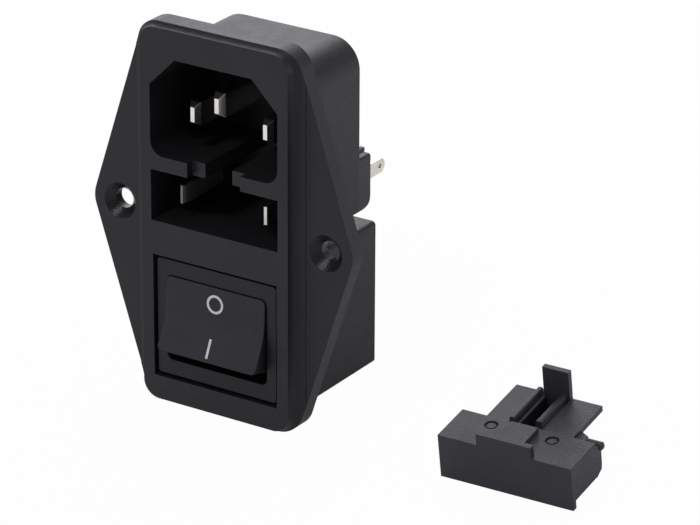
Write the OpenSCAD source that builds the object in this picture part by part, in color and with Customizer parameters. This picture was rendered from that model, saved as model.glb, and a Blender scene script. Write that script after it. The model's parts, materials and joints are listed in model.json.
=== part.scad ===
// Panel mains inlet module: a three pin inlet, a fuse drawer slot and a two pole rocker switch on one flange,
// with its fuse drawer taken out and lying beside it. Millimetres.
// X runs to the right seen from the front, Y runs to the back, Z runs up.
// The origin is on the back face of the flange, midway between the two screw holes.

/* [Front face] */
// Width of the raised bezel
bezel_w = 28.4; // [27.6:0.1:30]
// How far the bezel stands in front of the flange
bezel_proud = 2.1; // [1.8:0.1:3]
// Radius of the hollow sweep round the bezel
cove_r = 2; // [1:0.1:2.1]
// Corner radius of the bezel
bezel_corner_r = 3; // [2:0.1:3.8]
// Bezel above the inlet opening
top_rim = 4.9; // [4:0.1:7]
// Bar between the inlet opening and the fuse slot
bridge_t = 2.5; // [1.8:0.1:4]
// Bezel between the fuse slot and the switch opening
web_h = 5.9; // [5:0.1:8]
// Bezel below the switch opening
bottom_rim = 4.15; // [3.5:0.1:6]

/* [Flange] */
// Thickness of the flange
flange_t = 2.9; // [2:0.1:4]
// Flange beyond the bezel at the top and the bottom
flange_edge = 0.6; // [0.4:0.1:3]
// Width of the flange at its shoulders
shoulder_w = 31.6; // [30.6:0.1:33]
// Corner radius of the shoulders
shoulder_r = 4.5; // [3:0.1:5]
// Radius of each ear round its screw hole
ear_r = 5; // [4.2:0.1:6]
// Distance between the two screw holes
hole_spacing = 40; // [39:0.1:44]
// Bore of the screw holes
hole_d = 3.4; // [3:0.1:4]
// Outer diameter of the countersink
sink_d = 6.2; // [5:0.1:7]

/* [Rear body] */
// Side wall beside the fuse slot
side_wall = 1.45; // [1.2:0.05:2]
// Depth of the upper body behind the flange
body_depth = 16.4; // [15.8:0.1:22]
// Corner radius of the upper body
body_r = 5; // [3:0.1:6]
// Wall above the inlet opening and below the fuse slot
body_wall = 1.1; // [0.9:0.05:1.4]
// How far the terminal carrier stands behind the upper body
carrier_proud = 3.35; // [2:0.05:5]
// Radius of the lower rear edge of the terminal carrier
carrier_r = 3; // [1:0.1:4]
// Depth of the switch box behind the flange
box_depth = 21.4; // [20.8:0.1:25]
// Wall of the switch box beyond the switch opening
box_wall = 1.4; // [1:0.05:1.8]

/* [Mains inlet] */
// Width of the inlet opening
inlet_w = 24.5; // [24:0.1:25]
// Height of the inlet opening
inlet_h = 16.95; // [16.5:0.05:18]
// Width and height of the two upper chamfers
inlet_chamfer = 4.9; // [3:0.1:5.5]
// Radius of the two lower corners
inlet_r = 2.5; // [1.5:0.1:3.5]
// Thickness of the rear wall that holds the pins
pin_wall = 2.8; // [2:0.1:3.2]
// Thickness of a pin
pin_t = 2; // [1.8:0.05:2.2]
// Height of a pin
pin_h = 4; // [3.6:0.05:4.2]
// Distance between the line and neutral pins
pin_pitch = 14; // [13.5:0.1:14.5]
// Offset of the pins from mid height, earth up and the others down
pin_offset = 2; // [1.8:0.1:2.2]
// Length of the line and neutral pins inside the inlet
pin_len = 14.3; // [12:0.1:16]
// How much longer the earth pin is
earth_lead = 3.3; // [2:0.1:3.6]
// Taper length at a pin's tip
pin_taper = 1.1; // [0.5:0.1:1.5]

/* [Solder tags] */
// Thickness of a solder tag
tag_t = 0.8; // [0.5:0.05:1]
// Height of a solder tag
tag_h = 2.45; // [2.3:0.05:3]
// Length of a solder tag behind the plastic
tag_len = 6.6; // [5:0.1:9]
// Hole in a solder tag
tag_hole_d = 0.8; // [0.6:0.1:1.4]

/* [Fuse slot and drawer] */
// Width of the fuse slot
slot_w = 24.5; // [24.3:0.1:24.8]
// Height of the fuse slot
slot_h = 8.8; // [8.4:0.1:10]
// Width of the gap in the front of the bridge
bridge_gap_w = 10.2; // [9:0.1:12]
// Width of the gap further back, for the latch tab
latch_gap_w = 5.2; // [5:0.1:6]
// Depth of the wide front part of the gap
bridge_gap_depth = 1.5; // [1.2:0.1:3]
// Height of the fuse contacts
contact_h = 3.1; // [2.6:0.1:3.6]
// Thickness of the fuse contacts
contact_t = 0.5; // [0.3:0.05:0.6]
// Side clearance of the drawer in its slot
drawer_gap = 0.35; // [0.2:0.05:0.5]
// Clearance above and below the drawer in its slot
drawer_gap_z = 0.5; // [0.2:0.05:0.6]
// Depth of the drawer's block
drawer_block = 8; // [7.6:0.1:9]
// Overall length of the drawer
drawer_len = 18.4; // [17:0.1:18.4]
// Wall of the drawer
drawer_wall = 0.75; // [0.6:0.05:0.9]
// Where the drawer is shown
drawer_place = "beside"; // [beside, seated]
// Distance of the drawer to the right of the centre line when it lies beside
drawer_x = 53.5; // [48:0.1:70]
// Turn of the drawer about the upright axis when it lies beside
drawer_yaw = 1.9; // [-20:0.1:20]
// Tilt of the drawer when it lies beside
drawer_pitch = 9.6; // [6:0.1:12]

/* [Switch] */
// Width of the switch opening in the bezel
aperture_w = 24.05; // [23.8:0.05:24.4]
// Height of the switch opening in the bezel
aperture_h = 21.4; // [21:0.05:22]
// Gap between the switch frame and the opening
frame_gap = 0.45; // [0.2:0.05:0.6]
// How far the switch frame sits behind the bezel's face
frame_recess = 0.5; // [0:0.1:1]
// Thickness of the switch frame
frame_t = 1.5; // [1.2:0.1:1.8]
// Width of the rocker
rocker_w = 19.2; // [18.4:0.1:19.3]
// Height of the opening round the rocker
rocker_opening_h = 15; // [14.8:0.1:15.6]
// Gap beside the rocker
rocker_gap = 0.2; // [0.15:0.05:0.3]
// Distance of the rocker's axle behind the frame's face
axle_depth = 3.75; // [3.6:0.05:3.9]
// Diameter of the rocker's axle stubs
axle_d = 2.4; // [2:0.1:2.8]
// Distance from the axle to each pressing edge
rocker_reach = 8.38; // [8.2:0.02:8.42]
// Travel of the rocker in degrees
rocker_travel = 29.1; // [24:0.1:29.5]
// Wall of the rocker
rocker_wall = 1.2; // [1:0.05:1.4]
// Radius of the soft vertex of the rocker's face
rocker_vertex_r = 10; // [4:0.5:24]
// Corner radius of the opening round the rocker
opening_r = 1.2; // [0.4:0.1:1.6]
// Length of the snap barbs on the switch frame
barb_len = 2.6; // [1.6:0.1:3.2]
// Wall round each plunger's bore in the rocker
guide_wall = 0.9; // [0.6:0.1:1]
// Running clearance of small round pieces in their bores
run_gap = 0.08; // [0.05:0.01:0.1]
// Distance between the two poles
pole_pitch = 9; // [8.6:0.1:9.4]
// Wall of the switch's tub
tub_wall = 0.9; // [0.7:0.05:1]

/* [Switch contacts] */
// Reach of the plungers behind the axle
plunger_reach = 7; // [6.8:0.1:7.4]
// Diameter of the plungers
plunger_d = 2.4; // [2.2:0.1:2.6]
// Gap between a plunger and its lever
lever_gap = 0.25; // [0.2:0.05:0.4]
// Travel of the contact levers in degrees
lever_travel = 16; // [12:0.5:16]
// Bend of each arm of a lever towards the front
lever_bend = 15; // [14:0.5:16]
// Length of each arm of a lever
lever_arm = 6.6; // [6.4:0.1:6.8]
// Thickness of a lever
lever_t = 0.6; // [0.5:0.05:0.7]
// Width of a lever
lever_w = 3; // [2.6:0.1:3.2]
// Diameter of the contact tips
tip_d = 2; // [1.6:0.1:2.2]
// Thickness of the contact tips
tip_t = 0.5; // [0.4:0.05:0.55]
// Height of the switch's terminal blades
blade_h = 4; // [3.6:0.1:4]

/* [Hidden] */
$fn = 48;
BLACK = "#2c2b2e";
NICKEL = "#cfc8ba";
BRASS = "#c8a25a";
COPPER = "#b98256";
SILVER = "#dcdcd8";
// A hair's breadth that lets a cut run past a face
e = 0.05;
// Clearance of a fixed piece in its seat
seat = 0.03;

// Heights down the front face
bezel_h = top_rim + inlet_h + bridge_t + slot_h + web_h + aperture_h + bottom_rim;
inlet_top = bezel_h / 2 - top_rim;
inlet_bottom = inlet_top - inlet_h;
inlet_z = (inlet_top + inlet_bottom) / 2;
slot_top = inlet_bottom - bridge_t;
slot_bottom = slot_top - slot_h;
slot_z = (slot_top + slot_bottom) / 2;
aperture_top = slot_bottom - web_h;
aperture_bottom = aperture_top - aperture_h;
aperture_z = (aperture_top + aperture_bottom) / 2;

// Depths
flange_front = -flange_t;
face_y = flange_front - bezel_proud;
flange_h = bezel_h + 2 * flange_edge;
body_w = slot_w + 2 * side_wall;
body_top = inlet_top + body_wall;
body_bottom = slot_bottom - body_wall;
body_foot_r = 2;
carrier_top = slot_top + 0.2;
carrier_back = body_depth + carrier_proud;
box_top = aperture_top + box_wall + 1;
box_bottom = aperture_bottom - box_wall;
box_inner_w = aperture_w + 0.45;
box_w = box_inner_w + 2 * side_wall;
box_r = 0.7;
inlet_back = body_depth - pin_wall;

// Drawer, in its own frame: X across, Y back from its front face, Z up from its lower lip
drawer_w = slot_w - 2 * drawer_gap;
// The drawer lies this far above the slot's floor, so that its ribs stay under the bridge
drawer_rise = 0.25;
drawer_h = slot_h - 2 * drawer_gap_z;
face_plate_t = 1;
lip_h = 1.4;
tongue_plate_t = 0.95;
tongue_plate_top = drawer_h - 0.35;
wing_w = 15.5;
brow_w = bridge_gap_w - 0.4;
brow_h = min(2.05, bridge_t + drawer_gap_z - 0.3);
pad_w = latch_gap_w - 0.4;
tab_w = latch_gap_w - 0.5;
tab_t = 1;
tab_h = 5.25;
arm_len = 1.8;
peg_d = 1.4;
peg_out = 0.5;
peg_y = drawer_block + 1.75;
peg_z = tongue_plate_top - peg_d / 2 - 0.55;
// The left peg is lower than the right one, so the drawer goes in one way up only
peg_drop = 1;

// Fuse contacts and terminal carrier
contact_x = 8.15;
contact_front = face_y + 2.65;
contact_tag_x = slot_w / 2 - 0.45;
plug_front = max(face_y + drawer_len + 0.7, body_depth - 2.3);
pocket_w = drawer_w + 2 * (peg_out + 0.35);
pocket_front = face_y + drawer_block - 0.2;

// Switch
frame_face = face_y + frame_recess;
frame_back = frame_face + frame_t;
frame_w = aperture_w - 2 * frame_gap - 0.05;
frame_h = aperture_h - 2 * frame_gap - 0.25;
opening_w = rocker_w + 2 * rocker_gap;
tub_w = opening_w + 2 * tub_wall;
tub_h = rocker_opening_h + 1 + 2 * tub_wall;
tub_gap = 0.15;
axle_y = frame_face + axle_depth;
axle_len = tub_wall + rocker_gap - 0.1;
half_travel = rocker_travel / 2;
// Half the rocker's height, so that its pressed edge just clears the opening
edge_z = rocker_reach * sin(asin((rocker_opening_h / 2 - 0.1) / rocker_reach) - half_travel);
edge_y = -sqrt(rocker_reach * rocker_reach - edge_z * edge_z);
vertex_y = edge_y + edge_z * tan(10.9);
tub_back = 5.5;
base_back = 13;
base_floor = 2;
lever_y = axle_y + plunger_reach + lever_gap + lever_t / 2;
fulcrum_y = lever_y + lever_t / 2;
fulcrum_d = 1.2;
tip_reach = lever_arm - tip_d / 2 - 0.1;
shut = lever_bend - lever_travel / 2;
tip_out = lever_t / 2 + tip_t;
tip_z = tip_reach * cos(shut) + tip_out * sin(shut) + lever_t / 2 * sin(lever_travel / 2);
tip_y = fulcrum_y - lever_t / 2 * cos(lever_travel / 2) - tip_reach * sin(shut) + tip_out * cos(shut);
load_z = aperture_z + tip_z;
load_plate_y = tip_y + tip_t + 0.15;
load_plate_t = 0.8;
blade_back = box_depth - 0.9;

// Point where the line that touches two circles meets the first one: a and b are [x, z, r]
function touch_angle(a, b) =
    let (dx = b[0] - a[0], dz = b[1] - a[1], d = sqrt(dx * dx + dz * dz))
    atan2(dz, dx) - acos((a[2] - b[2]) / d);
function rim_point(c, angle) = [c[0] + c[2] * cos(angle), c[1] + c[2] * sin(angle)];

// Solid from an outline drawn in X and Z, running back from y0 to y1
module slab(y0, y1) {
    translate([0, y1, 0]) rotate([90, 0, 0]) linear_extrude(y1 - y0) children();
}

// Solid from an outline drawn in Y and Z, w thick about x = 0
module rail(w) {
    rotate([90, 0, 90]) translate([0, 0, -w / 2]) linear_extrude(w) children();
}

module box(x, y, z) {
    translate([x[0], y[0], z[0]]) cube([x[1] - x[0], y[1] - y[0], z[1] - z[0]]);
}

module round_rect(w, h, r) {
    union() {
        square([w - 2 * r, h], center = true);
        square([w, h - 2 * r], center = true);
        for (x = [-1, 1], z = [-1, 1])
            translate([x * (w / 2 - r), z * (h / 2 - r)]) circle(r);
    }
}

// Rounded rectangle whose upper corners are r and whose lower corners are foot
module body_outline(w, bottom, top, r, foot) {
    union() {
        translate([-w / 2, bottom + foot]) square([w, top - bottom - r - foot]);
        translate([-w / 2 + r, bottom + foot]) square([w - 2 * r, top - bottom - foot]);
        translate([-w / 2 + foot, bottom]) square([w - 2 * foot, top - bottom - r]);
        for (x = [-1, 1]) {
            translate([x * (w / 2 - r), top - r]) circle(r);
            translate([x * (w / 2 - foot), bottom + foot]) circle(foot);
        }
    }
}

module flange_outline() {
    ear = [hole_spacing / 2, 0, ear_r];
    corner = [shoulder_w / 2 - shoulder_r, flange_h / 2 - shoulder_r, shoulder_r];
    angle = touch_angle(ear, corner);
    p = rim_point(ear, angle + 0);
    q = rim_point(corner, angle);
    union() {
        for (x = [-1, 1]) {
            translate([x * ear[0], 0]) circle(ear_r);
            for (z = [-1, 1]) translate([x * corner[0], z * corner[1]]) circle(shoulder_r);
        }
        polygon([
            p, q, [corner[0], flange_h / 2], [-corner[0], flange_h / 2], [-q[0], q[1]], [-p[0], p[1]],
            [-p[0], -p[1]], [-q[0], -q[1]], [-corner[0], -flange_h / 2], [corner[0], -flange_h / 2],
            [q[0], -q[1]], [p[0], -p[1]]
        ]);
    }
}

// Section of the hollow sweep beside the bezel: X outwards, Y from the flange to the face
module cove_section() {
    difference() {
        square([cove_r, bezel_proud]);
        translate([cove_r, bezel_proud]) circle(cove_r);
    }
}

module cove_side(length) {
    rotate([90, 0, 0]) translate([0, 0, -length / 2]) linear_extrude(length) cove_section();
}

module bezel() {
    r = bezel_corner_r;
    x = bezel_w / 2 - r;
    z = bezel_h / 2 - r;
    slab(face_y, flange_front + e) round_rect(bezel_w, bezel_h, r);
    // The sweep is drawn lying on a plane and then stood up against the flange
    intersection() {
        slab(face_y, flange_front + e) flange_outline();
        translate([0, flange_front, 0]) rotate([90, 0, 0]) union() {
            for (sx = [0, 180]) rotate([0, 0, sx]) translate([bezel_w / 2, 0, 0]) cove_side(2 * z);
            for (sz = [90, 270]) rotate([0, 0, sz]) translate([bezel_h / 2, 0, 0]) cove_side(2 * x);
            for (sx = [-1, 1], sz = [-1, 1])
                translate([sx * x, sz * z, 0]) rotate_extrude() union() {
                    square([r, bezel_proud]);
                    translate([r, 0]) cove_section();
                }
        }
    }
}

module inlet_outline() {
    w = inlet_w / 2;
    c = inlet_chamfer;
    r = inlet_r;
    union() {
        polygon([
            [-w, inlet_bottom + r], [-w, inlet_top - c], [-w + c, inlet_top], [w - c, inlet_top],
            [w, inlet_top - c], [w, inlet_bottom + r], [w - r, inlet_bottom], [-w + r, inlet_bottom]
        ]);
        for (x = [-1, 1]) translate([x * (w - r), inlet_bottom + r]) circle(r);
    }
}

module pin_holes() {
    for (p = pin_places())
        box([p[0] - pin_t / 2 - seat, p[0] + pin_t / 2 + seat], [inlet_back - e, body_depth + e],
            [p[1] - pin_h / 2 - seat, p[1] + pin_h / 2 + seat]);
}

function pin_places() = [
    [-pin_pitch / 2, inlet_z - pin_offset], [pin_pitch / 2, inlet_z - pin_offset], [0, inlet_z + pin_offset]
];

module screw_hole() {
    sink_depth = (sink_d - hole_d) / 2;
    rotate([-90, 0, 0]) union() {
        translate([0, 0, flange_front - e]) cylinder(d = hole_d, h = flange_t + 2 * e);
        translate([0, 0, flange_front]) cylinder(d1 = sink_d, d2 = hole_d, h = sink_depth);
        translate([0, 0, face_y]) cylinder(d = sink_d, h = bezel_proud);
    }
}

module housing() {
    snap_w = 7;
    color(BLACK) difference() {
        union() {
            slab(flange_front, 0) flange_outline();
            bezel();
            slab(-e, body_depth) body_outline(body_w, body_bottom, body_top, body_r, body_foot_r);
            slab(-e, box_depth) body_outline(box_w, box_bottom, box_top, box_r, box_r);
        }
        // Inlet
        slab(face_y - e, inlet_back) inlet_outline();
        pin_holes();
        // Gap in the bridge, wide at the front
        box([-bridge_gap_w / 2, bridge_gap_w / 2], [face_y - e, face_y + bridge_gap_depth],
            [slot_top - e, inlet_bottom + e]);
        box([-latch_gap_w / 2, latch_gap_w / 2], [face_y - e, inlet_back], [slot_top - e, inlet_bottom + e]);
        // Fuse slot, right through, with pockets for the drawer's side pegs
        box([-slot_w / 2, slot_w / 2], [face_y - e, body_depth + e], [slot_bottom, slot_top]);
        box([-pocket_w / 2, pocket_w / 2], [pocket_front, plug_front], [slot_z, slot_top]);
        // Switch opening, ledge and box
        translate([0, 0, aperture_z]) {
            box([-aperture_w / 2, aperture_w / 2], [face_y - e, frame_back], [-aperture_h / 2, aperture_h / 2]);
            box([-tub_w / 2 - tub_gap, tub_w / 2 + tub_gap], [frame_back - e, e],
                [-tub_h / 2 - tub_gap, tub_h / 2 + tub_gap]);
            box([-box_inner_w / 2, box_inner_w / 2], [0, box_depth + e],
                [-aperture_h / 2 + 0.2, aperture_h / 2 - 0.2]);
        }
        for (x = [-1, 1]) translate([x * hole_spacing / 2, 0, 0]) screw_hole();
    }
    // Moulding nib on the rear face, above the carrier
    color(BLACK) box([body_w / 2 - 0.9, body_w / 2 - 0.1], [body_depth - e, body_depth + 1.7],
        [carrier_top + 0.85, carrier_top + 1.6]);
}

// Side view of the carrier: its lower rear edge is rounded
module carrier_profile() {
    difference() {
        translate([body_depth, body_bottom]) square([carrier_proud, carrier_top - body_bottom]);
        translate([carrier_back - carrier_r, body_bottom]) difference() {
            translate([0, -e]) square([carrier_r + e, carrier_r + e]);
            translate([0, carrier_r]) circle(carrier_r);
        }
    }
}

module terminal_carrier() {
    gap = 0.1;
    color(BLACK) difference() {
        union() {
            intersection() {
                rail(body_w) carrier_profile();
                slab(body_depth, carrier_back) body_outline(body_w, body_bottom, carrier_top, 0.5, body_foot_r);
            }
            box([-slot_w / 2 + gap, slot_w / 2 - gap], [plug_front, body_depth + e],
                [slot_bottom + gap, slot_top - gap]);
        }
        for (x = [-1, 1])
            box([x * contact_tag_x - tag_t / 2 - seat, x * contact_tag_x + tag_t / 2 + seat],
                [min(plug_front, body_depth) - e, carrier_back + e],
                [slot_z - contact_h / 2 - seat, slot_z + contact_h / 2 + seat]);
    }
}

// Solder tag, drawn in Y and Z from y = 0 back: a neck, a round end and a hole
module tag_outline() {
    difference() {
        union() {
            translate([-e, -tag_h / 2]) square([tag_len - tag_h / 2 + e, tag_h]);
            translate([tag_len - tag_h / 2, 0]) circle(tag_h / 2);
        }
        translate([tag_len - tag_h / 2 - 0.2, 0]) circle(d = tag_hole_d, $fn = 24);
    }
}

module pin(x, z, length) {
    tip = inlet_back - length;
    taper_z = 0.75;
    taper_x = 0.62;
    color(NICKEL) translate([x, 0, z]) {
        intersection() {
            rail(pin_t) polygon([
                [tip, -pin_h / 2 + taper_z], [tip + pin_taper, -pin_h / 2], [body_depth, -pin_h / 2],
                [body_depth, pin_h / 2], [tip + pin_taper, pin_h / 2], [tip, pin_h / 2 - taper_z]
            ]);
            translate([0, 0, -pin_h / 2]) linear_extrude(pin_h) polygon([
                [-pin_t / 2 + taper_x, tip], [pin_t / 2 - taper_x, tip], [pin_t / 2, tip + pin_taper],
                [pin_t / 2, body_depth], [-pin_t / 2, body_depth], [-pin_t / 2, tip + pin_taper]
            ]);
        }
        translate([0, body_depth, 0]) rail(tag_t) tag_outline();
    }
}

module pin_line() { pin(pin_places()[0][0], pin_places()[0][1], pin_len); }
module pin_neutral() { pin(pin_places()[1][0], pin_places()[1][1], pin_len); }
module pin_earth() { pin(pin_places()[2][0], pin_places()[2][1], pin_len + earth_lead); }

// Corner offsets of a bent strip: p is the path, h is half the thickness, s is the side
function strip_dir(p, i) = let (d = p[i + 1] - p[i]) d / norm(d);
function strip_corner(p, i, h, s) =
    let (
        a = i == 0 ? strip_dir(p, 0) : strip_dir(p, i - 1),
        b = i == len(p) - 1 ? a : strip_dir(p, i),
        m = a + b,
        n = [-m[1], m[0]] / norm(m),
        k = h / (n * [-a[1], a[0]])
    )
    p[i] + s * k * n;
function strip_outline(p, t) = concat(
    [for (i = [0 : len(p) - 1]) strip_corner(p, i, t / 2, 1)],
    [for (i = [len(p) - 1 : -1 : 0]) strip_corner(p, i, t / 2, -1)]
);

// Sprung leaf that bears on a fuse cap, bent outwards behind and ending in a solder tag
module fuse_contact(side) {
    path = [
        [contact_x, contact_front], [contact_x - 0.2, contact_front + 0.6], [contact_x - 0.35, contact_front + 1.5],
        [contact_x - 0.42, contact_front + 3], [contact_x - 0.35, contact_front + 4.6],
        [contact_x, plug_front - 5.2], [contact_tag_x, plug_front - 1.6], [contact_tag_x, plug_front + 0.6]
    ];
    color(NICKEL) translate([0, 0, slot_z]) scale([side, 1, 1]) {
        translate([0, 0, -contact_h / 2]) linear_extrude(contact_h) polygon(strip_outline(path, contact_t));
        translate([contact_tag_x, 0, 0]) {
            box([-tag_t / 2, tag_t / 2], [plug_front + 0.1, carrier_back], [-contact_h / 2, contact_h / 2]);
            translate([0, carrier_back, (contact_h - tag_h) / 2]) rail(tag_t) tag_outline();
        }
    }
}

module fuse_contact_left() { fuse_contact(-1); }
module fuse_contact_right() { fuse_contact(1); }

module switch_frame() {
    barb_y = 0.35;
    color(BLACK) translate([0, 0, aperture_z]) {
        difference() {
            union() {
                slab(frame_face, frame_back) round_rect(frame_w, frame_h, 0.6);
                box([-tub_w / 2, tub_w / 2], [frame_back - e, tub_back], [-tub_h / 2, tub_h / 2]);
                // Snap barbs above and below, behind the ledge
                for (z = [-1, 1]) scale([1, 1, z]) translate([0, 0, tub_h / 2 - e]) rail(6) polygon([
                    [barb_y, 0], [barb_y, 0.75], [barb_y + 0.5, 0.75], [barb_y + barb_len, 0]
                ]);
            }
            slab(frame_face - e, frame_back) round_rect(opening_w, rocker_opening_h, opening_r);
            box([-opening_w / 2, opening_w / 2], [frame_face + 1, tub_back + e],
                [-tub_h / 2 + tub_wall, tub_h / 2 - tub_wall]);
            translate([0, axle_y, 0]) rotate([0, 90, 0])
                cylinder(d = axle_d + 2 * run_gap, h = tub_w + 2, center = true);
        }
    }
}

module switch_base() {
    w = tub_w;
    h = tub_h;
    inner_w = w - 2 * tub_wall;
    inner_h = h - 2 * tub_wall;
    rib_z = tip_reach * cos(shut);
    rib_y = lever_y - rib_z * tan(shut) + lever_t / 2 + 0.2;
    color(BLACK) translate([0, 0, aperture_z]) difference() {
        union() {
            difference() {
                box([-w / 2, w / 2], [tub_back, base_back], [-h / 2, h / 2]);
                box([-inner_w / 2, inner_w / 2], [tub_back - e, base_back - base_floor], [-inner_h / 2, inner_h / 2]);
            }
            // Wall between the two poles
            box([-0.6, 0.6], [tub_back - 1.5, base_back - base_floor + e], [-inner_h / 2 + 0.2, inner_h / 2 - 0.2]);
            // Rest for each lever's lower arm
            for (x = [-1, 1]) translate([x * pole_pitch / 2, 0, 0])
                box([-lever_w / 2, lever_w / 2], [rib_y, base_back - base_floor + e], [-rib_z - 0.5, -rib_z + 0.5]);
        }
        for (x = [-1, 1]) translate([x * pole_pitch / 2, 0, 0]) {
            box([-tag_t / 2 - seat, tag_t / 2 + seat], [base_back - base_floor - e, base_back + e],
                [-blade_h / 2 - seat, blade_h / 2 + seat]);
            box([-tag_t / 2 - seat, tag_t / 2 + seat], [base_back - base_floor - e, base_back + e],
                [load_z - aperture_z - blade_h / 2 - seat, load_z - aperture_z + blade_h / 2 + seat]);
        }
    }
}

// Places the rocker's own frame, which has its axle at the origin, in its resting pose
module on_axle() {
    translate([0, axle_y, aperture_z]) rotate([-half_travel, 0, 0]) children();
}

// Side view of the rocker, midway through its travel
module rocker_profile(inset, back) {
    z = edge_z - inset;
    face = edge_y + inset / cos(10.9);
    vertex = face + z * tan(10.9) + (edge_z - z) * tan(10.9);
    r = rocker_vertex_r + inset;
    polygon(concat(
        [[back, -z], [face + (edge_z - z) * tan(10.9), -z]],
        [for (i = [-6 : 6]) [vertex - r / cos(10.9) + r * cos(10.9 * i / 6), r * sin(10.9 * i / 6)]],
        [[face + (edge_z - z) * tan(10.9), z], [back, z]]
    ));
}

module rocker() {
    skirt_back = 1.6;
    bore_end = -3;
    color(BLACK) on_axle() difference() {
        union() {
            difference() {
                intersection() {
                    rail(rocker_w) rocker_profile(0, skirt_back);
                    slab(edge_y - 1, skirt_back + 1) round_rect(rocker_w, 2 * edge_z, 0.9);
                }
                rail(rocker_w - 2 * rocker_wall) rocker_profile(rocker_wall, skirt_back + 1);
            }
            for (x = [-1, 1]) translate([x * pole_pitch / 2, 0, 0]) rotate([-90, 0, 0])
                translate([0, 0, bore_end - 0.6]) cylinder(d = plunger_d + 2 * guide_wall, h = skirt_back - bore_end + 0.6);
            for (x = [-1, 1]) scale([x, 1, 1]) translate([rocker_w / 2 - rocker_wall, 0, 0]) rotate([0, 90, 0])
                cylinder(d = axle_d, h = rocker_wall + axle_len);
        }
        for (x = [-1, 1]) translate([x * pole_pitch / 2, 0, 0]) rotate([-90, 0, 0])
            translate([0, 0, bore_end]) cylinder(d = plunger_d + 2 * run_gap, h = skirt_back - bore_end + e);
    }
}

// Pin that the spring in the rocker pushes against a lever
module plunger(side) {
    head = 0.2;
    r = plunger_d / 2;
    color(BRASS) on_axle() translate([side * pole_pitch / 2, 0, 0]) rotate([-90, 0, 0]) rotate_extrude() union() {
        translate([0, head - 0.9]) square([0.45, 1]);
        polygon([
            [0, head], [r, head], [r, plunger_reach - r], [0.85 * r, plunger_reach - 0.45 * r],
            [0.5 * r, plunger_reach - 0.12 * r], [0, plunger_reach]
        ]);
    }
}

module plunger_left() { plunger(-1); }
module plunger_right() { plunger(1); }

// Coil spring from y0 to y1 about the Y axis of its own frame
module coil(y0, y1, r, wire, turns) {
    steps = 9;
    sides = 5;
    n = turns * steps;
    pitch = (y1 - y0 - wire) / turns;
    points = [for (i = [0 : n], k = [0 : sides - 1])
        let (a = 360 * i / steps, b = 360 * k / sides, q = r + wire / 2 * cos(b))
        [q * cos(a), y0 + wire / 2 + pitch * i / steps + wire / 2 * sin(b), q * sin(a)]];
    faces = concat(
        [[for (k = [0 : sides - 1]) k]],
        [for (i = [0 : n - 1], k = [0 : sides - 1])
            let (j = (k + 1) % sides)
            [i * sides + j, i * sides + k, (i + 1) * sides + k, (i + 1) * sides + j]],
        [[for (k = [sides - 1 : -1 : 0]) n * sides + k]]
    );
    polyhedron(points, faces);
}

module spring(side) {
    color(SILVER) on_axle() translate([side * pole_pitch / 2, 0, 0]) coil(-2.95, 0.15, 0.85, 0.35, 5);
}

module spring_left() { spring(-1); }
module spring_right() { spring(1); }

// Places a lever's own frame, with its fulcrum at the origin, in its resting pose
module on_fulcrum(side) {
    translate([side * pole_pitch / 2, fulcrum_y, aperture_z]) rotate([lever_travel / 2, 0, 0]) children();
}

module lever(side) {
    h = lever_t / 2;
    path = [
        [-h - lever_arm * sin(lever_bend), -lever_arm * cos(lever_bend)], [-h, 0],
        [-h - lever_arm * sin(lever_bend), lever_arm * cos(lever_bend)]
    ];
    color(COPPER) on_fulcrum(side) union() {
        rail(lever_w) polygon(strip_outline(path, lever_t));
        rotate([0, 90, 0]) cylinder(d = fulcrum_d, h = lever_w + 2, center = true, $fn = 32);
    }
}

module lever_left() { lever(-1); }
module lever_right() { lever(1); }

// Contact rivet with a slightly domed face, along Y from y = 0 to y = tip_t
module tip() {
    dome = 0.12;
    rotate([-90, 0, 0]) rotate_extrude($fn = 32) polygon([
        [0, 0], [tip_d / 2, 0], [tip_d / 2, tip_t - dome], [tip_d / 3, tip_t], [0, tip_t]
    ]);
}

module lever_tip(side) {
    color(SILVER) on_fulcrum(side) translate([0, -lever_t / 2, 0]) rotate([lever_bend, 0, 0])
        translate([0, lever_t / 2, tip_reach]) tip();
}

module lever_tip_left() { lever_tip(-1); }
module lever_tip_right() { lever_tip(1); }

module fixed_tip(side) {
    color(SILVER) translate([side * pole_pitch / 2, load_plate_y, load_z]) rotate([0, 0, 180]) tip();
}

module fixed_tip_left() { fixed_tip(-1); }
module fixed_tip_right() { fixed_tip(1); }

// Blade of a switch terminal, drawn in Y and Z
module blade_outline(front) {
    polygon([
        [front, -blade_h / 2], [blade_back - 0.8, -blade_h / 2], [blade_back, -blade_h / 2 + 0.8],
        [blade_back, blade_h / 2 - 0.8], [blade_back - 0.8, blade_h / 2], [front, blade_h / 2]
    ]);
}

module common_terminal(side) {
    plate_y = lever_y + 2.2;
    ear_gap = lever_w + 0.3;
    ear_t = 0.6;
    color(BRASS) translate([side * pole_pitch / 2, 0, aperture_z]) {
        rail(tag_t) difference() {
            blade_outline(plate_y + 0.4);
            translate([blade_back - 2, 0]) circle(d = tag_hole_d, $fn = 24);
        }
        box([-ear_gap / 2 - ear_t, ear_gap / 2 + ear_t], [plate_y, plate_y + 0.8], [-blade_h / 2, blade_h / 2]);
        // Two ears with a half round notch that carry the lever's fulcrum
        for (x = [-1, 1]) translate([x * (ear_gap / 2 + ear_t / 2), 0, 0]) rail(ear_t) difference() {
            translate([fulcrum_y, -blade_h / 2]) square([plate_y - fulcrum_y + e, blade_h]);
            translate([fulcrum_y, 0]) circle(d = fulcrum_d + 2 * run_gap, $fn = 32);
        }
    }
}

module common_terminal_left() { common_terminal(-1); }
module common_terminal_right() { common_terminal(1); }

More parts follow.
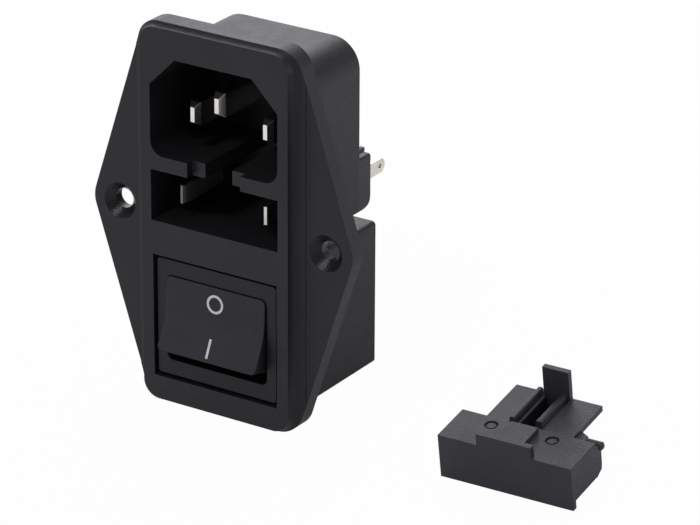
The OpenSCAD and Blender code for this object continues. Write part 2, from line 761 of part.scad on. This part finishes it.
module load_terminal(side) {
    color(BRASS) translate([side * pole_pitch / 2, 0, load_z]) {
        rail(tag_t) difference() {
            blade_outline(load_plate_y + load_plate_t / 2);
            translate([blade_back - 2, 0]) circle(d = tag_hole_d, $fn = 24);
        }
        box([-1.5, 1.5], [load_plate_y, load_plate_y + load_plate_t], [-blade_h / 2 + 0.6, blade_h / 2 - 0.6]);
    }
}

module load_terminal_left() { load_terminal(-1); }
module load_terminal_right() { load_terminal(1); }

// Top view of the plate behind the block: two wings and the slits beside the latch tongue
module drawer_plate_outline() {
    difference() {
        translate([-wing_w / 2, drawer_block - drawer_wall]) square([wing_w, drawer_len - 0.2 - drawer_block + drawer_wall]);
        translate([-2.65, drawer_block + 0.4]) square([4.9, drawer_len]);
    }
}

// Peg along X, from x0 out past the drawer's side
module drawer_peg(x0, z) {
    tip = 0.3;
    h = drawer_w / 2 + peg_out - x0 - tip;
    translate([x0, peg_y, z]) rotate([0, 90, 0]) {
        cylinder(d = peg_d, h = h, $fn = 32);
        translate([0, 0, h - e]) cylinder(d1 = peg_d, d2 = peg_d - 0.6, h = tip, $fn = 32);
    }
}

module drawer_solid() {
    w = drawer_w / 2;
    plate_low = tongue_plate_top - tongue_plate_t;
    channel_low = 3.2;
    rib_top = drawer_h + 0.65;
    tab_top = tongue_plate_top + tab_h;
    difference() {
        union() {
            // Front plate with its raised brow and its lower lip
            box([-w, w], [0, face_plate_t], [0, drawer_h]);
            box([-brow_w / 2, brow_w / 2], [0, face_plate_t], [drawer_h - e, drawer_h + brow_h]);
            // Block behind the plate and the low pad on it
            box([-w, w], [face_plate_t - e, drawer_block], [lip_h, drawer_h]);
            box([-pad_w / 2, pad_w / 2], [face_plate_t - e, drawer_block - 1], [drawer_h - e, drawer_h + 0.9]);
            // Side arms with the lower rear corner cut off
            for (x = [-1, 1]) scale([x, 1, 1]) translate([w - 0.4, 0, 0]) rail(0.8) polygon([
                [drawer_block - e, lip_h], [drawer_block, lip_h - 0.1], [peg_y - 0.2, lip_h + 0.6],
                [peg_y, lip_h + 1.4], [peg_y, peg_z], [drawer_block - e, peg_z + 0.7]
            ]);
            // Pegs that snap behind the slot's front wall
            drawer_peg(9, peg_z);
            mirror([1, 0, 0]) drawer_peg(w - 0.6, peg_z - peg_drop);
            // Bar from the block to the right peg, tapered towards the outside
            translate([0, 0, peg_z]) linear_extrude(peg_d / 2) polygon([
                [wing_w / 2 - 1.2, drawer_block - e], [wing_w / 2 - 1.2, peg_y + 1.6], [wing_w / 2, peg_y + 1.5],
                [9.4, peg_y + peg_d / 2 - 0.1], [9.4, peg_y - peg_d / 2 + 0.1], [9.4, drawer_block - e]
            ]);
            // Wings
            translate([0, 0, plate_low]) linear_extrude(tongue_plate_t) drawer_plate_outline();
            // Curb on the left wing beside the channel
            translate([-3.1, 0, rib_top - 0.7]) slab(drawer_block + 0.4, drawer_len - 0.6) round_rect(1, 1.4, 0.35);
            // Sprung latch tongue: a channel with a rib on its right, ending in the tab
            difference() {
                box([-2.4, 1.85], [drawer_block - e, drawer_len], [channel_low, tongue_plate_top - 0.1]);
                box([-1.9, 0.75], [drawer_block + 0.5, drawer_len - tab_t], [channel_low + 0.8, rib_top]);
            }
            translate([1.3, 0, rib_top - 1.5]) slab(drawer_block + 1, drawer_len - e) round_rect(1.1, 3, 0.4);
            box([-tab_w / 2, tab_w / 2], [drawer_len - tab_t, drawer_len], [channel_low, tab_top]);
        }
        // Fuse bay, open to the back
        box([-w + 1.3, w - 1.3], [face_plate_t + 0.6, drawer_block - 2 + e], [lip_h + drawer_wall, drawer_h - drawer_wall]);
        for (x = [-1, 1]) scale([x, 1, 1])
            box([3.4, w - 1.3], [face_plate_t + 0.6, drawer_block + e], [lip_h + drawer_wall, drawer_h - 1.9]);
        // Groove between the block and the left wing
        box([-wing_w / 2 - e, -3.2], [drawer_block, drawer_block + 0.2], [tongue_plate_top - 0.5, drawer_h]);
        // Ejector marks
        for (x = [-5.5, 5.4]) translate([x, 5.9, drawer_h - 0.35]) difference() {
            cylinder(d = 2.3, h = 1, $fn = 32);
            translate([0, 0, -e]) cylinder(d = 1.5, h = 0.3, $fn = 32);
        }
    }
}

// Height of the surface that the parts lie on: it touches the flange's lower rear edge and the box's lower rear edge
function floor_slope() = (box_bottom + flange_h / 2) / box_depth;
function floor_z(y) = -flange_h / 2 + floor_slope() * y;

module fuse_drawer() {
    drawer_y = face_y + 2.9;
    color(BLACK)
    if (drawer_place == "seated")
        translate([0, face_y, slot_bottom + drawer_rise]) drawer_solid();
    else
        translate([drawer_x, drawer_y, floor_z(drawer_y) + 0.05])
            rotate([0, 0, drawer_yaw]) rotate([drawer_pitch, 0, 0]) drawer_solid();
}

housing();
terminal_carrier();
pin_line();
pin_neutral();
pin_earth();
fuse_contact_left();
fuse_contact_right();
switch_frame();
switch_base();
rocker();
plunger_left();
plunger_right();
spring_left();
spring_right();
lever_left();
lever_right();
lever_tip_left();
lever_tip_right();
fixed_tip_left();
fixed_tip_right();
common_terminal_left();
common_terminal_right();
load_terminal_left();
load_terminal_right();
fuse_drawer();
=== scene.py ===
import json
import math

import bmesh
import bpy
from mathutils import Matrix, Vector


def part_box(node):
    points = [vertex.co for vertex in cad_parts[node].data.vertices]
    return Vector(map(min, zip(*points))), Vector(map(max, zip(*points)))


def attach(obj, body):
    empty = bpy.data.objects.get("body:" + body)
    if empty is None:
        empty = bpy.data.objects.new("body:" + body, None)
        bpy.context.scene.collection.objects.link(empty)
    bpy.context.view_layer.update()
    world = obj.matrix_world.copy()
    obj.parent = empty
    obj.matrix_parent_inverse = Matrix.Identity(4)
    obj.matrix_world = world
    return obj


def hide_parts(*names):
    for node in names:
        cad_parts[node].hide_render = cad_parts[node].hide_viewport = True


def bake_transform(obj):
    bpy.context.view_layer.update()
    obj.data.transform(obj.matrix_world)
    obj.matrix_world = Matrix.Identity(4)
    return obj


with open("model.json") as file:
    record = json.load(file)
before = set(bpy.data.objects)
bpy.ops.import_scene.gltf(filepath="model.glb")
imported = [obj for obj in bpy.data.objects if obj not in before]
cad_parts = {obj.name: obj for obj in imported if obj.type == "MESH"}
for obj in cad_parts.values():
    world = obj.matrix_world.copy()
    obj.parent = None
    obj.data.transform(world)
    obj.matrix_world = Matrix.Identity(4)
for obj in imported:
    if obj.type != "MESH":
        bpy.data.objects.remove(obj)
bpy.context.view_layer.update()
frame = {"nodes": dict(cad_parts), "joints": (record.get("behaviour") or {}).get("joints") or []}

# A millimetre in metres: the object's own sizes are in millimetres, and the studio's in metres
MM = 0.001


# Small helpers
def node_of(tree, kind, **inputs):
    made = tree.nodes.new(kind)
    for name, value in inputs.items():
        made.inputs[name].default_value = value
    return made


def link(tree, a, out, b, into):
    tree.links.new(a.outputs[out], b.inputs[into])


def new_material(name):
    material = bpy.data.materials.new(name)
    material.use_nodes = True
    tree = material.node_tree
    shader = tree.nodes["Principled BSDF"]
    return material, tree, shader


def noise(tree, coords, scale, detail, rough):
    made = tree.nodes.new("ShaderNodeTexNoise")
    made.inputs["Scale"].default_value = scale
    made.inputs["Detail"].default_value = detail
    made.inputs["Roughness"].default_value = rough
    tree.links.new(coords.outputs["Object"], made.inputs["Vector"])
    return made


def ramp(tree, source, out, points):
    made = tree.nodes.new("ShaderNodeValToRGB")
    steps = made.color_ramp.elements
    while len(steps) < len(points):
        steps.new(0.5)
    for step, (place, colour) in zip(steps, points):
        step.position = place
        step.color = (*colour, 1.0)
    tree.links.new(source.outputs[out], made.inputs["Fac"])
    return made


def spread(tree, source, out, low, high):
    made = tree.nodes.new("ShaderNodeMapRange")
    made.inputs["To Min"].default_value = low
    made.inputs["To Max"].default_value = high
    tree.links.new(source.outputs[out], made.inputs["Value"])
    return made


def math_node(tree, operation, a, b=None):
    made = tree.nodes.new("ShaderNodeMath")
    made.operation = operation
    for slot, value in enumerate((a, b)):
        if value is None:
            continue
        if isinstance(value, float):
            made.inputs[slot].default_value = value
        else:
            tree.links.new(value, made.inputs[slot])
    return made.outputs["Value"]


# Looks of the surfaces
SCREW_HOLE_X = 20.0
SINK_RADIUS = 3.12
SINK_POLISH = 0.24
EDGE_SAMPLES = 6
CLOUD_SCALE = 90.0
PATCH_SCALE = 260.0
PLASTIC_SMOOTHER = 0.06
PLASTIC_ROUGHER = 0.08
GRAIN_SCALE = 4200.0
GRAIN_DEPTH = 0.15
GLOSS_TINT = (0.93, 0.88, 1.0, 1.0)
MARKS_ACROSS = 1500.0
MARKS_ALONG = 90.0
MARKS_DEPTH = 0.01
MARKS_STRENGTH = 0.05
METAL_CLOUD_SCALE = 420.0
METAL_SMOOTHER = 0.03
METAL_ROUGHER = 0.04
PRINT_WEAR_SCALE = 1500.0


# The normal of a surface whose edges are rounded in the shading
def soft_edges(tree, edge):
    made = tree.nodes.new("ShaderNodeBevel")
    made.samples = EDGE_SAMPLES
    made.inputs["Radius"].default_value = edge * MM
    return made


# 1 inside the two countersunk screw holes and 0 elsewhere
def inside_sinks(tree, coords):
    parts = tree.nodes.new("ShaderNodeSeparateXYZ")
    link(tree, coords, "Object", parts, "Vector")
    sideways = math_node(tree, "ABSOLUTE", parts.outputs["X"])
    from_axis = math_node(tree, "SUBTRACT", sideways, SCREW_HOLE_X * MM)
    across = math_node(tree, "POWER", from_axis, 2.0)
    upright = math_node(tree, "POWER", parts.outputs["Z"], 2.0)
    squared = math_node(tree, "ADD", across, upright)
    return math_node(tree, "LESS_THAN", squared, (SINK_RADIUS * MM) ** 2)


# Moulded black plastic: fine grain, faint cloudy variation and softened edges
def plastic(name, dark, light, rough, grain, edge, specular, polished_sinks=False):
    material, tree, shader = new_material(name)
    coords = tree.nodes.new("ShaderNodeTexCoord")
    cloud = noise(tree, coords, CLOUD_SCALE, detail=4.0, rough=0.6)
    colours = ramp(tree, cloud, "Fac", [(0.3, dark), (0.75, light)])
    link(tree, colours, "Color", shader, "Base Color")
    patch = noise(tree, coords, PATCH_SCALE, detail=3.0, rough=0.6)
    roughness = spread(tree, patch, "Fac", rough - PLASTIC_SMOOTHER, rough + PLASTIC_ROUGHER)
    finish = roughness.outputs["Result"]
    if polished_sinks:
        smooth = math_node(tree, "MULTIPLY", inside_sinks(tree, coords), SINK_POLISH)
        finish = math_node(tree, "SUBTRACT", finish, smooth)
    tree.links.new(finish, shader.inputs["Roughness"])
    fine = noise(tree, coords, GRAIN_SCALE, detail=2.0, rough=0.55)
    soft = soft_edges(tree, edge)
    bump = node_of(tree, "ShaderNodeBump", Strength=grain, Distance=GRAIN_DEPTH * MM)
    link(tree, fine, "Fac", bump, "Height")
    link(tree, soft, "Normal", bump, "Normal")
    link(tree, bump, "Normal", shader, "Normal")
    shader.inputs["Specular IOR Level"].default_value = specular
    shader.inputs["Specular Tint"].default_value = GLOSS_TINT
    shader.inputs["IOR"].default_value = 1.5
    return material


# Plated or plain metal strip: fine drawing marks and slightly uneven polish
def metal(name, dark, light, rough, edge, streak_axis):
    material, tree, shader = new_material(name)
    coords = tree.nodes.new("ShaderNodeTexCoord")
    stretch = tree.nodes.new("ShaderNodeMapping")
    scale = [MARKS_ACROSS] * 3
    scale[streak_axis] = MARKS_ALONG
    stretch.inputs["Scale"].default_value = scale
    link(tree, coords, "Object", stretch, "Vector")
    marks = tree.nodes.new("ShaderNodeTexNoise")
    marks.inputs["Scale"].default_value = 1.0
    marks.inputs["Detail"].default_value = 3.0
    link(tree, stretch, "Vector", marks, "Vector")
    cloud = noise(tree, coords, METAL_CLOUD_SCALE, detail=3.0, rough=0.55)
    colours = ramp(tree, cloud, "Fac", [(0.25, dark), (0.7, light)])
    link(tree, colours, "Color", shader, "Base Color")
    shader.inputs["Metallic"].default_value = 1.0
    roughness = spread(tree, marks, "Fac", rough - METAL_SMOOTHER, rough + METAL_ROUGHER)
    link(tree, roughness, "Result", shader, "Roughness")
    soft = soft_edges(tree, edge)
    bump = node_of(tree, "ShaderNodeBump", Strength=MARKS_STRENGTH, Distance=MARKS_DEPTH * MM)
    link(tree, marks, "Fac", bump, "Height")
    link(tree, soft, "Normal", bump, "Normal")
    link(tree, bump, "Normal", shader, "Normal")
    return material


housing_black = plastic(
    "housing_black", (0.011, 0.0103, 0.0118), (0.016, 0.0150, 0.0172),
    rough=0.44, grain=0.45, edge=0.1, specular=0.34, polished_sinks=True,
)
carrier_black = plastic(
    "carrier_black", (0.014, 0.0133, 0.0148), (0.020, 0.0190, 0.0213),
    rough=0.44, grain=0.45, edge=0.03, specular=0.4,
)
drawer_black = plastic(
    "drawer_black", (0.027, 0.0262, 0.0312), (0.042, 0.0403, 0.0472),
    rough=0.49, grain=0.45, edge=0.1, specular=0.4,
)
switch_black = plastic(
    "switch_black", (0.0115, 0.0110, 0.0124), (0.015, 0.0143, 0.0160),
    rough=0.46, grain=0.30, edge=0.12, specular=0.3,
)
rocker_black = plastic(
    "rocker_black", (0.0105, 0.0100, 0.0113), (0.014, 0.0132, 0.0147),
    rough=0.48, grain=0.30, edge=0.35, specular=0.4,
)
nickel = metal("nickel_plate", (0.70, 0.66, 0.60), (0.88, 0.85, 0.81), rough=0.17, edge=0.1, streak_axis=1)
contact_nickel = metal(
    "contact_nickel", (0.66, 0.62, 0.56), (0.84, 0.81, 0.76), rough=0.36, edge=0.06, streak_axis=1,
)
brass = metal("brass_strip", (0.70, 0.52, 0.24), (0.82, 0.64, 0.34), rough=0.26, edge=0.1, streak_axis=1)
copper = metal("copper_strip", (0.66, 0.36, 0.22), (0.78, 0.48, 0.32), rough=0.28, edge=0.1, streak_axis=2)
silver = metal("silver_rivet", (0.78, 0.78, 0.76), (0.9, 0.9, 0.88), rough=0.22, edge=0.08, streak_axis=0)
steel = metal("spring_steel", (0.5, 0.5, 0.52), (0.66, 0.66, 0.68), rough=0.25, edge=0.05, streak_axis=1)

# Finish of the CAD pieces, by the start of their names
FINISH = {
    "housing": housing_black,
    "terminal_carrier": carrier_black,
    "fuse_drawer": drawer_black,
    "switch_frame": switch_black,
    "switch_base": switch_black,
    "rocker": rocker_black,
    "pin": nickel,
    "fuse_contact": contact_nickel,
    "plunger": brass,
    "spring": steel,
    "lever": copper,
    "lever_tip": silver,
    "fixed_tip": silver,
    "common_terminal": brass,
    "load_terminal": brass,
}


# The longest start that fits the name decides
def finish_for(name):
    fitting = [key for key in FINISH if name == key or name.startswith(key + "_")]
    return FINISH[max(fitting, key=len)]


# Each CAD piece gets its finish
for name, piece in frame["nodes"].items():
    if not piece.material_slots:
        piece.data.materials.append(None)
    for place in piece.material_slots:
        place.link = "OBJECT"
        place.material = finish_for(name)

# The rocker: its axle and resting tilt, and the outer edge and vertex of its face, seen from the axle
rocker_joint = next(joint for joint in frame["joints"] if joint["name"] == "rocker_tilt")
AXLE = Vector(rocker_joint["pos_m"])
HALF_TRAVEL = math.radians(rocker_joint["range_deg"][1]) / 2
REST = Matrix.Rotation(-HALF_TRAVEL, 4, "X")
EDGE = Vector((0.0, -5.666, 6.174))
VERTEX = Vector((0.0, -4.477, 0.0))


# Turns a place seen from the axle into the shared frame, with the rocker at rest
def on_axle(place):
    return AXLE + (REST @ place) * MM


# Plunger springs: each spring is drawn as a copy of its coil in spring steel, and the CAD spring is hidden
for hand in ("left", "right"):
    coil = bpy.data.objects.new("coil_" + hand, frame["nodes"]["spring_" + hand].data.copy())
    coil.data.materials.clear()
    coil.data.materials.append(steel)
    bpy.context.scene.collection.objects.link(coil)
    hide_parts("spring_" + hand)
    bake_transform(coil)

# Switch marks, pad printed on the rocker: a ring on the upper half and a bar on the lower half
PRINT_LIFT = 0.03
RING_MIDDLE = 2.86
RING_OUTER = 1.6
RING_INNER = 1.18
RING_STEPS = 64
BAR_HALF = 0.22
BAR_START = 0.62
BAR_END = 3.85


# A point on the upper (side 1) or lower (side -1) half of the face, measured along it from its outer edge
def rocker_point(side, x, along, out):
    edge = Vector((0.0, EDGE.y, side * EDGE.z))
    down = (VERTEX - edge).normalized()
    face_out = Vector((0.0, -abs(down.z), -side * abs(down.y)))
    return on_axle(edge + down * along + face_out * out + Vector((x, 0.0, 0.0)))


# White print, slightly worn
paint, paint_tree, paint_shader = new_material("white_print")
paint_coords = paint_tree.nodes.new("ShaderNodeTexCoord")
paint_wear = noise(paint_tree, paint_coords, PRINT_WEAR_SCALE, detail=3.0, rough=0.6)
worn_and_full = [(0.3, (0.62, 0.62, 0.66)), (0.6, (0.76, 0.76, 0.80))]
paint_colour = ramp(paint_tree, paint_wear, "Fac", worn_and_full)
link(paint_tree, paint_colour, "Color", paint_shader, "Base Color")
paint_shader.inputs["Roughness"].default_value = 0.55


# A mark in white print that moves with the rocker
def printed(name, mesh):
    bmesh.ops.recalc_face_normals(mesh, faces=mesh.faces)
    data = bpy.data.meshes.new(name)
    mesh.to_mesh(data)
    mesh.free()
    data.materials.append(paint)
    piece = bpy.data.objects.new(name, data)
    bpy.context.scene.collection.objects.link(piece)
    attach(piece, "rocker")


# Ring on the upper half
ring = bmesh.new()
ring_section = (
    (RING_OUTER, -PRINT_LIFT), (RING_OUTER, PRINT_LIFT), (RING_INNER, PRINT_LIFT), (RING_INNER, -PRINT_LIFT),
)
ring_rows = []
for k in range(RING_STEPS):
    angle = 2 * math.pi * k / RING_STEPS
    row = []
    for radius, lift in ring_section:
        x = radius * math.cos(angle)
        along = RING_MIDDLE + radius * math.sin(angle)
        row.append(ring.verts.new(rocker_point(1, x, along, lift)))
    ring_rows.append(row)
for a, b in zip(ring_rows, ring_rows[1:] + ring_rows[:1]):
    for i in range(4):
        j = (i + 1) % 4
        ring.faces.new((a[i], a[j], b[j], b[i]))
printed("mark_off", ring)

# Bar on the lower half
bar = bmesh.new()
bar_corners = (
    (-BAR_HALF, BAR_START), (BAR_HALF, BAR_START), (BAR_HALF, BAR_END), (-BAR_HALF, BAR_END),
)
low = [bar.verts.new(rocker_point(-1, x, along, -PRINT_LIFT)) for x, along in bar_corners]
high = [bar.verts.new(rocker_point(-1, x, along, PRINT_LIFT)) for x, along in bar_corners]
bar.faces.new(high)
bar.faces.new(list(reversed(low)))
for i in range(4):
    j = (i + 1) % 4
    bar.faces.new((low[i], low[j], high[j], high[i]))
printed("mark_on", bar)

# Floor: it touches the lower rear edges of the flange and of the switch box, and sweeps up far behind
housing_low, housing_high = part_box("housing")
FLANGE_LOW = housing_low[2]
BOX_DEPTH = housing_high[1]
BOX_RISE = 3.35 * MM
FLOOR_SLOPE = BOX_RISE / BOX_DEPTH
VIEW_TURN = math.radians(33.0)
SWEEP_START = 1.4
SWEEP_RADIUS = 0.5
SWEEP_STEPS = 16
WALL_TOP = 1.6
FLOOR_REACH = 2.5


def floor_point(along, behind, lift):
    x = along * math.cos(VIEW_TURN) - behind * math.sin(VIEW_TURN)
    y = along * math.sin(VIEW_TURN) + behind * math.cos(VIEW_TURN)
    return (x, y, FLANGE_LOW + FLOOR_SLOPE * y + lift)


profile = [(-FLOOR_REACH, 0.0), (SWEEP_START, 0.0)]
for step in range(1, SWEEP_STEPS + 1):
    turn = math.radians(90.0 * step / SWEEP_STEPS)
    profile.append((SWEEP_START + SWEEP_RADIUS * math.sin(turn), SWEEP_RADIUS * (1 - math.cos(turn))))
profile.append((SWEEP_START + SWEEP_RADIUS, WALL_TOP))
floor_mesh = bpy.data.meshes.new("floor")
floor_sides = (-FLOOR_REACH, FLOOR_REACH)
floor_points = [floor_point(side, behind, lift) for behind, lift in profile for side in floor_sides]
floor_faces = [(2 * k, 2 * k + 1, 2 * k + 3, 2 * k + 2) for k in range(len(profile) - 1)]
floor_mesh.from_pydata(floor_points, [], floor_faces)
for face in floor_mesh.polygons:
    face.use_smooth = True
floor = bpy.data.objects.new("floor", floor_mesh)
bpy.context.scene.collection.objects.link(floor)

# White paper
PAPER = (0.7, 0.7, 0.7, 1.0)
PAPER_ROUGHNESS = 0.9
floor_paint, floor_tree, floor_shader = new_material("floor_white")
floor_shader.inputs["Base Color"].default_value = PAPER
floor_shader.inputs["Roughness"].default_value = PAPER_ROUGHNESS

# Seen straight or through a gap, the paper glows almost white, whatever light falls on it
STRAIGHT_GLOW = 0.98
# Glows less in a gloss, with painted shadow under and just behind the object and painted shade to its front
# right
GLOSSY_GLOW = 0.7
# Spot of the painted shadow under and just behind the object
PAINTED_SHADOW_SPOT = (0.0, 0.045)
# Spot of the painted shade to the object's front right
PAINTED_SHADE_SPOT = (0.11, -0.06)
path = floor_tree.nodes.new("ShaderNodeLightPath")
floor_coords = floor_tree.nodes.new("ShaderNodeTexCoord")


# Rises smoothly from low to high between two distances from a spot level with the flange's lower edge
def away_from(spot, near, far, low, high):
    away = floor_tree.nodes.new("ShaderNodeVectorMath")
    away.operation = "DISTANCE"
    away.inputs[1].default_value = (*spot, FLANGE_LOW)
    link(floor_tree, floor_coords, "Object", away, 0)
    made = floor_tree.nodes.new("ShaderNodeMapRange")
    made.interpolation_type = "SMOOTHSTEP"
    made.inputs["From Min"].default_value = near
    made.inputs["From Max"].default_value = far
    made.inputs["To Min"].default_value = low
    made.inputs["To Max"].default_value = high
    link(floor_tree, away, "Value", made, "Value")
    return made.outputs["Result"]


seen = math_node(floor_tree, "MAXIMUM", path.outputs["Is Camera Ray"], path.outputs["Is Transmission Ray"])
straight_glow = math_node(floor_tree, "MULTIPLY", seen, STRAIGHT_GLOW)
# Painted shadow: the gloss glow is dimmed near the object, under and just behind it
glow_with_painted_shadow = away_from(PAINTED_SHADOW_SPOT, near=0.03, far=0.07, low=0.1, high=GLOSSY_GLOW)
# Painted shade: the gloss glow is dimmed to the object's front right
painted_shade_factor = away_from(PAINTED_SHADE_SPOT, near=0.06, far=0.14, low=0.0, high=1.0)
glow_with_painted_shade = math_node(floor_tree, "MULTIPLY", glow_with_painted_shadow, painted_shade_factor)
glossy_glow = math_node(floor_tree, "MULTIPLY", path.outputs["Is Glossy Ray"], glow_with_painted_shade)
glow_share = math_node(floor_tree, "MAXIMUM", straight_glow, glossy_glow)
glow = node_of(floor_tree, "ShaderNodeEmission", Strength=1.0)
mixed = floor_tree.nodes.new("ShaderNodeMixShader")
floor_tree.links.new(glow_share, mixed.inputs["Fac"])
link(floor_tree, floor_shader, "BSDF", mixed, 1)
link(floor_tree, glow, "Emission", mixed, 2)
link(floor_tree, mixed, "Shader", floor_tree.nodes["Material Output"], "Surface")
floor_mesh.materials.append(floor_paint)

# World: a soft even light
SKY_COLOUR = (0.96, 0.97, 1.0, 1.0)
SKY_STRENGTH = 0.3
world = bpy.data.worlds.new("studio")
bpy.context.scene.world = world
world.use_nodes = True
background = world.node_tree.nodes["Background"]
background.inputs["Color"].default_value = SKY_COLOUR
background.inputs["Strength"].default_value = SKY_STRENGTH

# Lamps: large soft panels round the object, and a small white one in front of it
SOFT_COLOUR = (0.975, 0.955, 1.0)
WHITE = (1.0, 1.0, 1.0)
LAMP_TARGET = Vector((0.02, 0.0, 0.0))
# Name, place, width and height, power and colour of each lamp
LAMPS = [
    ("top_light", (0.0, 0.3, 0.75), (0.5, 0.5), 1.6, SOFT_COLOUR),
    ("back_light", (-0.36, 0.56, 0.31), (0.5, 0.4), 1.5, SOFT_COLOUR),
    ("right_light", (0.77, 0.2, 0.2), (0.4, 0.4), 1.3, SOFT_COLOUR),
    ("front_light", (-0.48, -0.77, 0.2), (0.4, 0.4), 1.2, SOFT_COLOUR),
    ("key_light", (-0.03, -0.52, 0.7), (0.1, 0.1), 1.6, WHITE),
]
for name, place, size, power, colour in LAMPS:
    light = bpy.data.lights.new(name, "AREA")
    light.shape = "RECTANGLE"
    light.size, light.size_y = size
    light.energy = power
    light.color = colour
    piece = bpy.data.objects.new(name, light)
    piece.location = Vector(place)
    piece.rotation_euler = (LAMP_TARGET - piece.location).to_track_quat("-Z", "Y").to_euler()
    piece.visible_camera = False
    bpy.context.scene.collection.objects.link(piece)

# Camera, at the photograph's place and angle
YAW = math.radians(32.988)
PITCH = math.radians(23.140)
ROLL = math.radians(0.272)
# Where the frame's origin lies in the axes that the camera was fitted in
FRAME_ORIGIN = Vector((0.0, 5.0, 0.5))
# The camera's place from the start of those axes, along its own right, upward and backward directions
PLACE_IN_VIEW = Vector((21.767, -4.496, 678.61))
IMAGE_WIDTH = 700
IMAGE_HEIGHT = 525
FOCAL_PIXELS = 4255.713
CENTRE_PIXEL_X = 350.41
CENTRE_PIXEL_Y = 262.03
SENSOR_WIDTH = 36.0
toward = Vector((math.sin(YAW) * math.cos(PITCH), -math.cos(YAW) * math.cos(PITCH), math.sin(PITCH)))
level = Vector((math.cos(YAW), math.sin(YAW), 0.0))
upward = toward.cross(level)
image_right = math.cos(ROLL) * level + math.sin(ROLL) * upward
image_up = -math.sin(ROLL) * level + math.cos(ROLL) * upward
camera_turn = Matrix((image_right, image_up, toward)).transposed()
camera_place = (camera_turn @ PLACE_IN_VIEW - FRAME_ORIGIN) * MM
camera_data = bpy.data.cameras.new("camera")
camera = bpy.data.objects.new("camera", camera_data)
camera.matrix_world = Matrix.Translation(camera_place) @ camera_turn.to_4x4()
camera_data.sensor_fit = "HORIZONTAL"
camera_data.sensor_width = SENSOR_WIDTH
camera_data.lens = FOCAL_PIXELS / IMAGE_WIDTH * SENSOR_WIDTH
camera_data.shift_x = (IMAGE_WIDTH / 2 - CENTRE_PIXEL_X) / IMAGE_WIDTH
camera_data.shift_y = (CENTRE_PIXEL_Y - IMAGE_HEIGHT / 2) / IMAGE_WIDTH
camera_data.clip_start = 0.01
camera_data.clip_end = 20.0
bpy.context.scene.collection.objects.link(camera)
bpy.context.scene.camera = camera
bpy.context.scene.view_settings.view_transform = "Standard"
